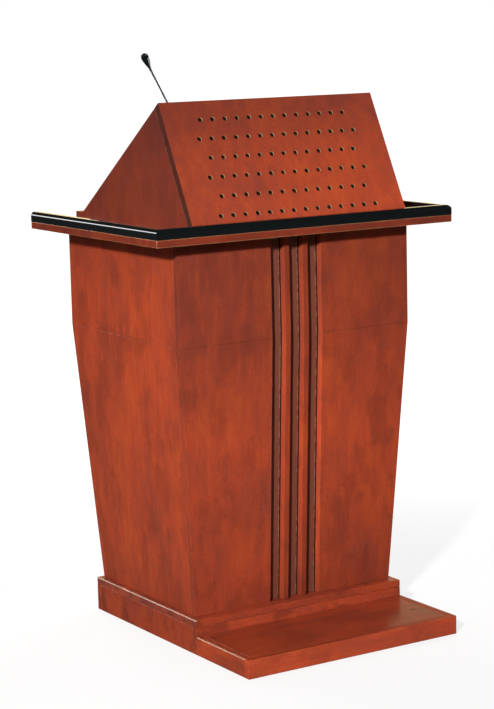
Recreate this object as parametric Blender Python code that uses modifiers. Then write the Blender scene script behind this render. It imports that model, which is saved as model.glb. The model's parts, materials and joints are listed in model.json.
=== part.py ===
"""School lectern podium, built board by board.

A plinth with a front step carries a body that tapers inwards to its foot.  The body's
front has three vertical flutes, its back has an open book shelf over a two-door cupboard.
On top are an overhanging board with a black edge rail, and a sloping reading desk whose
front is a perforated loudspeaker panel.  A bendable microphone stands behind the ridge.

Units are metres, +Z is up, the audience is towards -Y and the speaker stands at +Y.
Left and right are as the audience sees them: left is -X.
"""
import math

import bmesh
import bpy
from mathutils import Matrix, Vector

# ---------------------------------------------------------------- driving dimensions
GAP = 0.0003               # clearance left between pieces that touch
BOARD = 0.016              # carcass boards
EDGE = 0.0006              # eased edge of a board

PLINTH_HALF = 0.276
PLINTH_FRONT = -0.1485
PLINTH_REAR = 0.3065
PLINTH_TOP = 0.078
STEP_FRONT = -0.3605
STEP_TOP = 0.042
PLINTH_EDGE = 0.0012       # eased edges of the plinth, and of the step, which wears most
STEP_EDGE = 0.0015

FOOT = {"half": 0.262, "front": -0.1225, "rear": 0.2965, "z": PLINTH_TOP}
WAIST = {"half": 0.302, "front": -0.1565, "rear": 0.3345, "z": 0.682}
BODY_TOP = 0.909           # underside of the table board

FLUTE_WIDTH = 0.0348
RIDGE_WIDTH = 0.0134
FLUTE_BACK = 0.009         # thickness of the board behind the flutes
FLUTE_LAP = 0.022          # how far that board reaches behind each front board
FLUTE_HALF = 1.5 * FLUTE_WIDTH + RIDGE_WIDTH

TABLE_HALF = 0.384
TABLE_FRONT = -0.2165
TABLE_REAR = 0.3605
TABLE_TOP = BODY_TOP + BOARD
TABLE_EDGE = 0.001
RAIL_WIDTH = 0.020
RAIL_HEIGHT = 0.0225
RAIL_RADIUS = 0.0095

DESK_HALF = 0.278
DESK_FOOT = -0.195         # where the front slope would meet the table
RIDGE_Y = -0.0555
RIDGE_Z = 1.200
FRONT_PANEL = 0.018
READING_DROP = 0.252       # fall of the reading slope from the ridge to the ledge
READING_RUN = 0.356
LEDGE_TOP = 0.9435
LEDGE_REAR = 0.3355
READING_PANEL = 0.012
READING_INSET = 0.002      # the reading board lies this far below the cheeks' edges
EDGING_THICK = 0.004

HOLE_RADIUS = 0.0056
HOLE_PITCH = 0.031
ROW_PITCH = 0.0448
FIRST_ROW = 0.0441         # from the ridge down the slope to the first row of holes
ROW_COUNT = 6
SHORT_ROW = 13             # holes in the odd rows; the even rows have one more
HOLE_SIDES = 16

SHELF_BOTTOM = 0.683       # fixed shelf between the book space and the cupboard
MID_SHELF_BOTTOM = 0.380
MID_SHELF_HALF = 0.262
MID_SHELF_FRONT = -0.110
MID_SHELF_REAR = 0.262
CLEAT = 0.014
CLEAT_HEIGHT = 0.028
CLEAT_INSET = 0.010        # the cleats stop this far short of the shelf's edges
DOOR_FACE = 0.294          # rear face of the doors and of the stiles beside them
DOOR_THICK = 0.016
DOOR_HALF = 0.216          # half the clear width between the stiles
DOOR_BOTTOM = 0.0815
DOOR_TOP = 0.680
DOOR_CLEAR = 0.0015
HINGE_BOTTOM = 0.100
HINGE_TOP = 0.662
BARRELS = 9                # barrels of a long hinge, shared by its two leaves
HINGE_LEAF = 0.020
LEAF_THICK = 0.0015
KNUCKLE = 0.0035           # outer radius of the hinge barrel
PIN = 0.0015
KNOB_X = 0.030
KNOB_Z = 0.400
CATCH_HALF = 0.042
CATCH_DEPTH = 0.014
CATCH_BOTTOM = 0.665

CABLE_X = 0.18
CABLE_RADIUS = 0.020
CABLE_BORE = 0.014
CABLE_DECK_Y = 0.245
CABLE_WALL_Z = 0.032
CUT_PAST = 0.010           # how far a cutting tool reaches past the board that it cuts

MIC_X = -0.224
MIC_DOWN = 0.040           # from the ridge down the reading slope to the microphone
MIC_LEAN = math.radians(44.5)
MIC_HEAD_LEAN = math.radians(41.0)
MIC_SOCKET_RISE = 0.0112   # start of the neck along its line, just above the flange
MIC_BEND_RISE = 0.020      # ball of the neck's bend
MIC_NECK = 0.132           # length of the neck up to the head's bend
MIC_HEAD = 0.042
MIC_HEAD_RADIUS = 0.0086
MIC_GRILLE = 0.012         # length of the wire cap
NECK_RADIUS = 0.0021
NECK_STOP = 0.0025         # the neck ends this far short of the head's bend
SOCKET_RADIUS = 0.0028

AMP_HALF = 0.150
AMP_FRONT = 0.020
AMP_REAR = 0.240
AMP_HEIGHT = 0.078
AMP_SHEET = 0.002
VOLUME_X = 0.095
VOLUME_RADIUS = 0.015
DRIVER_X = 0.100
DRIVER_RADIUS = 0.062
DRIVER_DEPTH = 0.045
CLOTH = 0.0008
CLOTH_HALF_X = 0.235
CLOTH_HALF_Y = 0.130

FRONT_ANGLE = math.atan2(RIDGE_Y - DESK_FOOT, RIDGE_Z - TABLE_TOP)
READING_ANGLE = math.atan2(READING_DROP, READING_RUN)
SLOPE_LENGTH = math.hypot(RIDGE_Y - DESK_FOOT, RIDGE_Z - TABLE_TOP)
FACING_SPEAKER = Matrix.Rotation(-math.pi / 2, 4, "X")   # turns local Z to +Y

# ---------------------------------------------------------------- colours
FINISHES = {
    "mahogany": ((0.330, 0.065, 0.026), 0.30, 0.0),
    "black_gloss": ((0.010, 0.011, 0.012), 0.12, 0.0),
    "black_metal": ((0.020, 0.022, 0.024), 0.35, 0.6),
    "steel": ((0.560, 0.565, 0.570), 0.28, 1.0),
    "nickel": ((0.700, 0.690, 0.660), 0.18, 1.0),
    "black_cloth": ((0.014, 0.014, 0.015), 0.95, 0.0),
    "paper_cone": ((0.030, 0.030, 0.032), 0.80, 0.0),
    "black_plastic": ((0.022, 0.022, 0.024), 0.50, 0.0),
}


# ---------------------------------------------------------------- helpers
def clear_scene():
    for item in list(bpy.data.objects):
        bpy.data.objects.remove(item, do_unlink=True)


def new_collection(name):
    group = bpy.data.collections.new(name)
    bpy.context.scene.collection.children.link(group)
    return group


def finish_material(finish, name):
    colour, roughness, metallic = FINISHES[finish]
    material = bpy.data.materials.new(name + "_" + finish)
    material.use_nodes = True
    shader = material.node_tree.nodes["Principled BSDF"]
    shader.inputs["Base Color"].default_value = (*colour, 1.0)
    shader.inputs["Roughness"].default_value = roughness
    shader.inputs["Metallic"].default_value = metallic
    return material


def add_part(name, mesh, finish, edge=0.0):
    """Put a mesh in the lectern's collection, with its finish and eased edges."""
    part = bpy.data.objects.new(name, mesh)
    mesh.materials.clear()
    mesh.materials.append(finish_material(finish, name))
    LECTERN.objects.link(part)
    if edge:
        ease = part.modifiers.new("eased_edges", "BEVEL")
        ease.width = edge
        ease.segments = 2
        ease.limit_method = "ANGLE"
        ease.angle_limit = math.radians(40)
    return part


def mesh_from(bm, name):
    mesh = bpy.data.meshes.new(name)
    bmesh.ops.recalc_face_normals(bm, faces=bm.faces)
    bm.to_mesh(mesh)
    bm.free()
    return mesh


def box_mesh(name, low, high):
    bm = bmesh.new()
    bmesh.ops.create_cube(bm, size=1.0)
    low = Vector(low)
    size = Vector(high) - low
    for vert in bm.verts:
        vert.co = low + Vector([(vert.co[i] + 0.5) * size[i] for i in range(3)])
    return mesh_from(bm, name)


def board(name, low, high, finish="mahogany", edge=EDGE):
    return add_part(name, box_mesh(name, low, high), finish, edge)


def level(z):
    """Outline of the body at height z: half width, front and rear."""
    share = min((z - FOOT["z"]) / (WAIST["z"] - FOOT["z"]), 1.0)
    return {key: FOOT[key] + share * (WAIST[key] - FOOT[key]) for key in ("half", "front", "rear")}


def tapered_board(name, bottom, top, edges, finish="mahogany", edge=EDGE):
    """A board whose four upright edges follow the taper; edges(level) gives x0, x1, y0, y1."""
    bm = bmesh.new()
    bmesh.ops.create_cube(bm, size=2.0)
    for vert in bm.verts:
        z = top if vert.co.z > 0 else bottom
        x0, x1, y0, y1 = edges(level(z))
        vert.co = (x1 if vert.co.x > 0 else x0, y1 if vert.co.y > 0 else y0, z)
    return add_part(name, mesh_from(bm, name), finish, edge)


def arc(centre, radius, start, end, steps):
    """Points along an arc, in degrees, both ends included."""
    points = []
    for i in range(steps + 1):
        angle = math.radians(start + (end - start) * i / steps)
        points.append((centre[0] + radius * math.cos(angle), centre[1] + radius * math.sin(angle)))
    return points


def extruded_mesh(name, outlines, thickness, place):
    """Extrude closed outlines, holes among them, by a thickness centred on their plane."""
    curve = bpy.data.curves.new(name, "CURVE")
    curve.dimensions = "2D"
    curve.fill_mode = "BOTH"
    curve.extrude = thickness / 2
    for outline in outlines:
        spline = curve.splines.new("POLY")
        spline.points.add(len(outline) - 1)
        for point, (u, v) in zip(spline.points, outline):
            point.co = (u, v, 0.0, 1.0)
        spline.use_cyclic_u = True
    guide = bpy.data.objects.new(name, curve)
    GUIDES.objects.link(guide)
    guide.matrix_world = place
    bpy.context.view_layer.update()
    solid = bpy.data.meshes.new_from_object(guide.evaluated_get(bpy.context.evaluated_depsgraph_get()))
    solid.transform(guide.matrix_world)
    bpy.data.objects.remove(guide, do_unlink=True)
    bm = bmesh.new()
    bm.from_mesh(solid)
    bmesh.ops.remove_doubles(bm, verts=bm.verts, dist=0.00001)
    bmesh.ops.recalc_face_normals(bm, faces=bm.faces)
    bm.to_mesh(solid)
    bm.free()
    return solid


def along_x(x):
    """Places an outline's (u, v) as (y, z), with its thickness along X about x."""
    axes = Matrix(((0, 0, 1), (1, 0, 0), (0, 1, 0))).to_4x4()
    return Matrix.Translation((x, 0, 0)) @ axes


def signed_volume(part):
    """Volume inside a part's evaluated mesh, negative where its faces point inwards."""
    bpy.context.view_layer.update()
    shape = bpy.data.meshes.new_from_object(part.evaluated_get(bpy.context.evaluated_depsgraph_get()))
    bm = bmesh.new()
    bm.from_mesh(shape)
    volume = bm.calc_volume(signed=True)
    bm.free()
    bpy.data.meshes.remove(shape)
    return volume


def turned(name, profile, finish, place, steps=24):
    """A turned piece: the profile of (radius, height) runs from top to bottom."""
    bm = bmesh.new()
    verts = [bm.verts.new((radius, 0.0, height)) for radius, height in profile]
    for first, second in zip(verts, verts[1:]):
        bm.edges.new((first, second))
    closed = profile[0][0] > 0.0 and profile[-1][0] > 0.0
    if closed:
        bm.edges.new((verts[-1], verts[0]))
    mesh = bpy.data.meshes.new(name)
    bm.to_mesh(mesh)
    bm.free()
    part = add_part(name, mesh, finish)
    turn = part.modifiers.new("turn", "SCREW")
    turn.steps = steps
    turn.render_steps = steps
    turn.use_merge_vertices = True
    turn.merge_threshold = 0.00001
    turn.use_normal_calculate = True
    part.matrix_world = place
    turn.use_normal_flip = signed_volume(part) < 0
    return part


def cylinder_mesh(name, radius, start, end, sides=24):
    """A cylinder between two points."""
    start = Vector(start)
    end = Vector(end)
    bm = bmesh.new()
    bmesh.ops.create_cone(
        bm, cap_ends=True, segments=sides, radius1=radius, radius2=radius,
        depth=(end - start).length,
    )
    turn = (end - start).to_track_quat("Z", "Y").to_matrix().to_4x4()
    bmesh.ops.transform(bm, matrix=Matrix.Translation((start + end) / 2) @ turn, verts=bm.verts)
    return mesh_from(bm, name)


def cylinder(name, radius, start, end, finish, sides):
    return add_part(name, cylinder_mesh(name, radius, start, end, sides), finish)


def cutter(name, mesh):
    tool = bpy.data.objects.new(name, mesh)
    tool.hide_render = True
    tool.display_type = "WIRE"
    CUTTERS.objects.link(tool)
    return tool


def combine(part, tool, operation):
    change = part.modifiers.new(tool.name, "BOOLEAN")
    change.operation = operation
    change.solver = "EXACT"
    change.object = tool


def shade_round(part, angle=35):
    part.data.shade_smooth()
    part.data.set_sharp_from_angle(angle=math.radians(angle))


def set_origin(part, point):
    """Move a part's origin, not its shape, to a point such as its joint's axis."""
    shift = Matrix.Translation(-Vector(point))
    part.data.transform(shift @ part.matrix_world)
    part.matrix_world = Matrix.Translation(Vector(point))


# ---------------------------------------------------------------- plinth and step
def make_plinth():
    """Four walls under a flush top board, with a way through for cables."""
    inner = PLINTH_HALF - BOARD
    front_back = PLINTH_FRONT + BOARD
    rear_front = PLINTH_REAR - BOARD
    deck_bottom = PLINTH_TOP - BOARD
    wall_top = deck_bottom - GAP
    board("plinth_front_board", (-PLINTH_HALF, PLINTH_FRONT, 0.0),
          (PLINTH_HALF, front_back, wall_top), edge=PLINTH_EDGE)
    rear = board("plinth_rear_board", (-PLINTH_HALF, rear_front, 0.0),
                 (PLINTH_HALF, PLINTH_REAR, wall_top), edge=PLINTH_EDGE)
    for name, side in (("plinth_left_board", -1), ("plinth_right_board", 1)):
        outside, inside = sorted((side * PLINTH_HALF, side * inner))
        board(name, (outside, front_back + GAP, 0.0), (inside, rear_front - GAP, wall_top),
              edge=PLINTH_EDGE)
    deck = board("plinth_deck", (-PLINTH_HALF, PLINTH_FRONT, deck_bottom),
                 (PLINTH_HALF, PLINTH_REAR, PLINTH_TOP), edge=PLINTH_EDGE)

    wall_hole = cutter("cable_wall_hole", cylinder_mesh(
        "cable_wall_hole", CABLE_RADIUS, (CABLE_X, rear_front - CUT_PAST, CABLE_WALL_Z),
        (CABLE_X, PLINTH_REAR + CUT_PAST, CABLE_WALL_Z)))
    deck_hole = cutter("cable_deck_hole", cylinder_mesh(
        "cable_deck_hole", CABLE_RADIUS, (CABLE_X, CABLE_DECK_Y, deck_bottom - CUT_PAST),
        (CABLE_X, CABLE_DECK_Y, PLINTH_TOP + CUT_PAST)))
    combine(rear, wall_hole, "DIFFERENCE")
    combine(deck, deck_hole, "DIFFERENCE")

    lip = CABLE_RADIUS + 0.004
    lip_edge = 0.001
    sleeve = CABLE_RADIUS - GAP
    face = GAP + 0.0025
    profile = [
        (CABLE_BORE, face), (lip - lip_edge, face), (lip, face - lip_edge), (lip, GAP), (sleeve, GAP),
        (sleeve, -BOARD), (CABLE_BORE, -BOARD),
    ]
    place = Matrix.Translation((CABLE_X, PLINTH_REAR, CABLE_WALL_Z)) @ FACING_SPEAKER
    turned("cable_grommet", profile, "black_plastic", place)


def make_step():
    inner = PLINTH_HALF - BOARD
    back_of_front = STEP_FRONT + BOARD
    board("step_front_board", (-PLINTH_HALF, STEP_FRONT, 0.0),
          (PLINTH_HALF, back_of_front, STEP_TOP), edge=STEP_EDGE)
    for name, side in (("step_left_board", -1), ("step_right_board", 1)):
        outside, inside = sorted((side * PLINTH_HALF, side * inner))
        board(name, (outside, back_of_front + GAP, 0.0),
              (inside, PLINTH_FRONT - GAP, STEP_TOP), edge=STEP_EDGE)
    board("step_tread", (-inner + GAP, back_of_front + GAP, STEP_TOP - BOARD),
          (inner - GAP, PLINTH_FRONT - GAP, STEP_TOP))


# ---------------------------------------------------------------- body
def make_storey(label, bottom, top):
    """Sides and front boards of one storey of the body."""
    for name, side in (("left", -1), ("right", 1)):
        def side_edges(at, side=side):
            x0, x1 = sorted((side * at["half"], side * (at["half"] - BOARD)))
            return x0, x1, at["front"] + BOARD + GAP, at["rear"]

        def front_edges(at, side=side):
            x0, x1 = sorted((side * at["half"], side * FLUTE_HALF))
            return x0, x1, at["front"], at["front"] + BOARD

        tapered_board(f"{label}_{name}_side", bottom, top, side_edges)
        tapered_board(f"{label}_{name}_front", bottom, top, front_edges)


def front_strip(name, x, width, depth, thickness, edge):
    """An upright piece of both storeys' height that follows the bend of the body's front."""
    heights = (FOOT["z"] + GAP, WAIST["z"], BODY_TOP - GAP)
    outline = [(level(z)["front"] + depth, z) for z in heights]
    outline += [(level(z)["front"] + depth + thickness, z) for z in reversed(heights)]
    mesh = extruded_mesh(name, [outline], width, along_x(x))
    add_part(name, mesh, "mahogany", edge)


def make_body():
    """Two storeys, the tapered cupboard and the upright book space, and the flutes."""
    make_storey("lower", FOOT["z"] + GAP, WAIST["z"] - GAP / 2)
    make_storey("upper", WAIST["z"] + GAP / 2, BODY_TOP - GAP)
    front_strip("flute_back", 0.0, 2 * FLUTE_HALF + 2 * FLUTE_LAP, BOARD + GAP, FLUTE_BACK, 0.0)
    for name, side in (("left", -1), ("right", 1)):
        middle = side * (FLUTE_WIDTH + RIDGE_WIDTH) / 2
        front_strip(f"flute_ridge_{name}", middle, RIDGE_WIDTH, 0.0, BOARD, EDGE)


def make_shelves():
    waist_inner = WAIST["half"] - BOARD - GAP
    front = WAIST["front"] + BOARD + FLUTE_BACK + 3 * GAP
    board("book_shelf", (-waist_inner, front, SHELF_BOTTOM),
          (waist_inner, WAIST["rear"] - 0.002, SHELF_BOTTOM + BOARD))
    board("cupboard_shelf", (-MID_SHELF_HALF, MID_SHELF_FRONT, MID_SHELF_BOTTOM),
          (MID_SHELF_HALF, MID_SHELF_REAR, MID_SHELF_BOTTOM + BOARD))
    cleat_top = MID_SHELF_BOTTOM - GAP
    for name, side in (("left", -1), ("right", 1)):
        def cleat_edges(at, side=side):
            wall = at["half"] - BOARD - GAP
            x0, x1 = sorted((side * wall, side * (wall - CLEAT)))
            return x0, x1, MID_SHELF_FRONT + CLEAT_INSET, MID_SHELF_REAR - CLEAT_INSET

        tapered_board(f"shelf_cleat_{name}", cleat_top - CLEAT_HEIGHT, cleat_top, cleat_edges)


def make_rear_frame():
    """Wedge-shaped stiles make the tapered back square, so the doors hang upright."""
    bottom = PLINTH_TOP + GAP
    top = WAIST["z"] - GAP
    for name, side in (("rear_left_stile", -1), ("rear_right_stile", 1)):
        def stile_edges(at, side=side):
            x0, x1 = sorted((side * DOOR_HALF, side * (at["half"] - BOARD - GAP)))
            return x0, x1, DOOR_FACE - DOOR_THICK, DOOR_FACE

        tapered_board(name, bottom, top, stile_edges)


# ---------------------------------------------------------------- doors
def hinge_axis(side):
    return Vector((side * (DOOR_HALF - DOOR_CLEAR / 2), DOOR_FACE + GAP + KNUCKLE, 0.0))


def hinge_leaf(name, side, outward, first_gap):
    """A long leaf with barrels; outward is the direction in X of its plate from the pin.

    The other leaf's barrels sit in every second space, starting with number first_gap.
    """
    axis = hinge_axis(side)
    tangent = math.degrees(math.asin((LEAF_THICK - KNUCKLE) / KNUCKLE))
    barrel = arc((0.0, 0.0), KNUCKLE, tangent, 270, 16)
    outline = [(HINGE_LEAF, -KNUCKLE), (HINGE_LEAF, LEAF_THICK - KNUCKLE)] + barrel
    bore = arc((0.0, 0.0), PIN + GAP, 0, 360, 12)[:-1]
    outlines = [[(outward * x, y) for x, y in ring] for ring in (outline, bore)]
    height = HINGE_TOP - HINGE_BOTTOM
    place = Matrix.Translation((axis.x, axis.y, HINGE_BOTTOM + height / 2))
    leaf = add_part(name, extruded_mesh(name, outlines, height, place), "steel")

    pitch = height / BARRELS
    reach = sorted((axis.x - outward * 2 * KNUCKLE, axis.x + outward * (KNUCKLE + 2 * GAP)))
    for number in range(first_gap, BARRELS, 2):
        low = HINGE_BOTTOM + number * pitch
        slot = box_mesh(name + "_slot", (reach[0], axis.y - 2 * KNUCKLE, low - GAP),
                        (reach[1], axis.y + 2 * KNUCKLE, low + pitch + GAP))
        combine(leaf, cutter(f"{name}_slot_{number}", slot), "DIFFERENCE")
    return leaf


def make_door(name, side):
    axis = hinge_axis(side)
    x0, x1 = sorted((side * DOOR_CLEAR / 2, side * (DOOR_HALF - DOOR_CLEAR)))
    door = board(f"{name}_door", (x0, DOOR_FACE - DOOR_THICK, DOOR_BOTTOM), (x1, DOOR_FACE, DOOR_TOP))
    set_origin(door, axis)
    hinge_leaf(f"{name}_hinge_frame_leaf", side, side, 1)
    hinge_leaf(f"{name}_hinge_door_leaf", side, -side, 0)
    cylinder(f"{name}_hinge_pin", PIN, (axis.x, axis.y, HINGE_BOTTOM - 0.001),
             (axis.x, axis.y, HINGE_TOP + 0.001), "steel", 12)

    profile = [(0.0, 0.024), (0.0075, 0.0232), (0.0115, 0.020), (0.0125, 0.016), (0.0105, 0.0115),
               (0.006, 0.009), (0.0052, 0.004), (0.0085, 0.0018), (0.009, 0.0), (0.0, 0.0)]
    place = Matrix.Translation((side * KNOB_X, DOOR_FACE + GAP, KNOB_Z)) @ FACING_SPEAKER
    knob = turned(f"{name}_door_knob", profile, "nickel", place)
    shade_round(knob)


def make_catch():
    """One double magnetic catch under the book shelf holds both doors."""
    rear = DOOR_FACE - DOOR_THICK - GAP
    board("magnetic_catch", (-CATCH_HALF, rear - CATCH_DEPTH, CATCH_BOTTOM),
          (CATCH_HALF, rear, SHELF_BOTTOM - GAP), "black_plastic")


# ---------------------------------------------------------------- table board and rail
def make_table():
    board("table_board", (-TABLE_HALF, TABLE_FRONT, BODY_TOP),
          (TABLE_HALF, TABLE_REAR, TABLE_TOP), edge=TABLE_EDGE)


def rail_outline():
    """Section of the rail: distance in from the outer face, and height."""
    inner_round = 0.002
    points = [(0.0, GAP), (RAIL_WIDTH, GAP)]
    points += arc((RAIL_WIDTH - inner_round, RAIL_HEIGHT - inner_round), inner_round, 0, 90, 3)
    points += arc((RAIL_RADIUS, RAIL_HEIGHT - RAIL_RADIUS), RAIL_RADIUS, 90, 180, 8)
    return points


def make_rail(name, length, place, mitres):
    """A rail along local Z whose ends are mitred where mitres says so (start, end)."""
    mesh = extruded_mesh(name, [rail_outline()], length, Matrix.Identity(4))
    for vert in mesh.vertices:
        at_start = vert.co.z < 0
        if mitres[0 if at_start else 1]:
            cut = vert.co.x + GAP / 2
            vert.co.z += cut if at_start else -cut
    mesh.transform(place)
    part = add_part(name, mesh, "black_gloss")
    shade_round(part)
    return part


def make_rails():
    across = Matrix(((0, 0, 1, 0), (1, 0, 0, TABLE_FRONT), (0, 1, 0, TABLE_TOP), (0, 0, 0, 1)))
    make_rail("rail_front", 2 * TABLE_HALF, across, (True, True))
    depth = TABLE_REAR - TABLE_FRONT
    middle = (TABLE_REAR + TABLE_FRONT) / 2
    right = Matrix(((-1, 0, 0, TABLE_HALF), (0, 0, 1, middle), (0, 1, 0, TABLE_TOP), (0, 0, 0, 1)))
    left = Matrix(((1, 0, 0, -TABLE_HALF), (0, 0, -1, middle), (0, 1, 0, TABLE_TOP), (0, 0, 0, 1)))
    make_rail("rail_right", depth, right, (True, False))
    make_rail("rail_left", depth, left, (False, True))


# ---------------------------------------------------------------- reading desk
def front_slope(z):
    """Y of the desk's front slope at a height."""
    return DESK_FOOT + (z - TABLE_TOP) * math.tan(FRONT_ANGLE)


def reading_slope(z):
    return RIDGE_Y + (RIDGE_Z - z) / math.tan(READING_ANGLE)


def behind_front_panel(z, extra):
    return front_slope(z) + (FRONT_PANEL + extra) / math.cos(FRONT_ANGLE)


def ridge_corner(extra, depth=0.0):
    """Where a line at a depth under the reading slope meets the back of the front panel.

    extra moves the panel's back further in.
    """
    back = (FRONT_PANEL + extra) / math.cos(FRONT_ANGLE)
    fall = math.tan(READING_ANGLE)
    drop = (back * fall + depth / math.cos(READING_ANGLE)) / (1 + math.tan(FRONT_ANGLE) * fall)
    z = RIDGE_Z - drop
    return behind_front_panel(z, extra), z


def make_cheeks():
    bottom = TABLE_TOP + GAP
    outline = [
        (behind_front_panel(bottom, GAP), bottom), (LEDGE_REAR, bottom), (LEDGE_REAR, LEDGE_TOP),
        (reading_slope(LEDGE_TOP), LEDGE_TOP), ridge_corner(GAP),
    ]
    for name, side in (("desk_left_cheek", -1), ("desk_right_cheek", 1)):
        mesh = extruded_mesh(name, [outline], BOARD, along_x(side * (DESK_HALF - BOARD / 2)))
        add_part(name, mesh, "mahogany", EDGE)


def front_panel_place():
    """Local X across, local Y up the front slope from its foot, local Z out of the face."""
    up = Vector((0, math.sin(FRONT_ANGLE), math.cos(FRONT_ANGLE)))
    out = Vector((0, -math.cos(FRONT_ANGLE), math.sin(FRONT_ANGLE)))
    place = Matrix.Identity(4)
    for row in range(3):
        place[row][0] = (1.0, 0.0, 0.0)[row]
        place[row][1] = up[row]
        place[row][2] = out[row]
        place[row][3] = (0.0, DESK_FOOT, TABLE_TOP)[row]
    return place


def make_front_panel():
    """Perforated panel: staggered rows of drilled holes in front of the loudspeakers."""
    top = SLOPE_LENGTH
    outlines = [[(-DESK_HALF, 0.0), (DESK_HALF, 0.0), (DESK_HALF, top), (-DESK_HALF, top)]]
    for row in range(ROW_COUNT):
        count = SHORT_ROW + row % 2
        height = SLOPE_LENGTH - FIRST_ROW - row * ROW_PITCH
        for number in range(count):
            across = (number - (count - 1) / 2) * HOLE_PITCH
            ring = arc((across, height), HOLE_RADIUS, 0, 360, HOLE_SIDES)
            outlines.append(ring[:-1])
    place = front_panel_place() @ Matrix.Translation((0, 0, -FRONT_PANEL / 2))
    mesh = extruded_mesh("desk_front_panel", outlines, FRONT_PANEL, place)

    ridge_bevel = math.tan(math.pi / 2 + FRONT_ANGLE - READING_ANGLE)
    back_to_local = front_panel_place().inverted()
    for vert in mesh.vertices:
        local = back_to_local @ vert.co
        behind = -local.z
        at_foot = local.y < 0.001
        at_ridge = local.y > top - 0.001
        if at_foot:
            local.y = behind * math.tan(FRONT_ANGLE) + GAP / math.cos(FRONT_ANGLE)
        if at_ridge:
            local.y = top - behind / ridge_bevel
        vert.co = front_panel_place() @ local
    add_part("desk_front_panel", mesh, "mahogany")


def reading_place():
    """Local X across, local Y down the reading slope from the ridge, local Z out of it."""
    return Matrix.Translation((0, RIDGE_Y, RIDGE_Z)) @ Matrix.Rotation(-READING_ANGLE, 4, "X")


def make_reading_panel():
    half = DESK_HALF - BOARD - GAP
    end = reading_slope(LEDGE_TOP) - GAP
    top = READING_INSET
    bottom = READING_INSET + READING_PANEL

    def under_slope(depth):
        fall = (end - RIDGE_Y) * math.tan(READING_ANGLE)
        return end, RIDGE_Z - fall - depth / math.cos(READING_ANGLE)

    outline = [ridge_corner(GAP, top), ridge_corner(GAP, bottom), under_slope(bottom), under_slope(top)]
    add_part("reading_panel", extruded_mesh("reading_panel", [outline], 2 * half, along_x(0.0)),
             "mahogany", EDGE / 2)
    board("desk_ledge", (-half, end + GAP, TABLE_TOP + GAP), (half, LEDGE_REAR, LEDGE_TOP))
    board("ledge_edging", (-DESK_HALF, LEDGE_REAR + GAP, TABLE_TOP + GAP),
          (DESK_HALF, LEDGE_REAR + GAP + EDGING_THICK, LEDGE_TOP), "black_gloss")


# ---------------------------------------------------------------- loudspeakers
def driver_place(side):
    """Local Z points from the panel's back into the desk."""
    height = SLOPE_LENGTH - FIRST_ROW - (ROW_COUNT - 1) / 2 * ROW_PITCH
    spot = Matrix.Translation((side * DRIVER_X, height, -FRONT_PANEL - GAP))
    return front_panel_place() @ spot @ Matrix.Rotation(math.pi, 4, "X")


def make_loudspeakers():
    middle = SLOPE_LENGTH - FIRST_ROW - (ROW_COUNT - 1) / 2 * ROW_PITCH
    low = (-CLOTH_HALF_X, middle - CLOTH_HALF_Y, -FRONT_PANEL - GAP - CLOTH)
    high = (CLOTH_HALF_X, middle + CLOTH_HALF_Y, -FRONT_PANEL - GAP)
    sheet = board("acoustic_cloth", low, high, "black_cloth", 0.0)
    sheet.data.transform(front_panel_place())

    wall = 0.002
    start = CLOTH + GAP
    mouth = DRIVER_RADIUS - 0.008
    neck = 0.034
    frame = [
        (0.0, DRIVER_DEPTH + 0.018), (neck, DRIVER_DEPTH + 0.018), (neck, DRIVER_DEPTH - wall),
        (mouth + wall, start + 0.0055), (DRIVER_RADIUS, start + 0.0035), (DRIVER_RADIUS, start),
        (mouth, start), (mouth, start + 0.004), (neck - wall, DRIVER_DEPTH - 2 * wall),
        (0.0, DRIVER_DEPTH - 2 * wall),
    ]
    cone = [
        (0.0, 0.0225), (0.010, 0.0240), (0.0165, 0.0285), (mouth - 0.002, start + 0.0035),
        (mouth - 0.002, start + 0.0015), (0.0155, 0.0255), (0.010, 0.0215), (0.0, 0.0200),
    ]
    for name, side in (("left", -1), ("right", 1)):
        turned(f"{name}_speaker_frame", frame, "black_metal", driver_place(side))
        turned(f"{name}_speaker_cone", cone, "paper_cone", driver_place(side))


# ---------------------------------------------------------------- microphone
def neck_point(distance):
    """A point on the microphone neck's centre line, measured from the desk surface."""
    base = reading_place() @ Vector((MIC_X, MIC_DOWN, -READING_INSET))
    return base + distance * Vector((0, math.sin(MIC_LEAN), math.cos(MIC_LEAN)))


def lean_place(point, lean):
    return Matrix.Translation(point) @ Matrix.Rotation(-lean, 4, "X")


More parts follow.
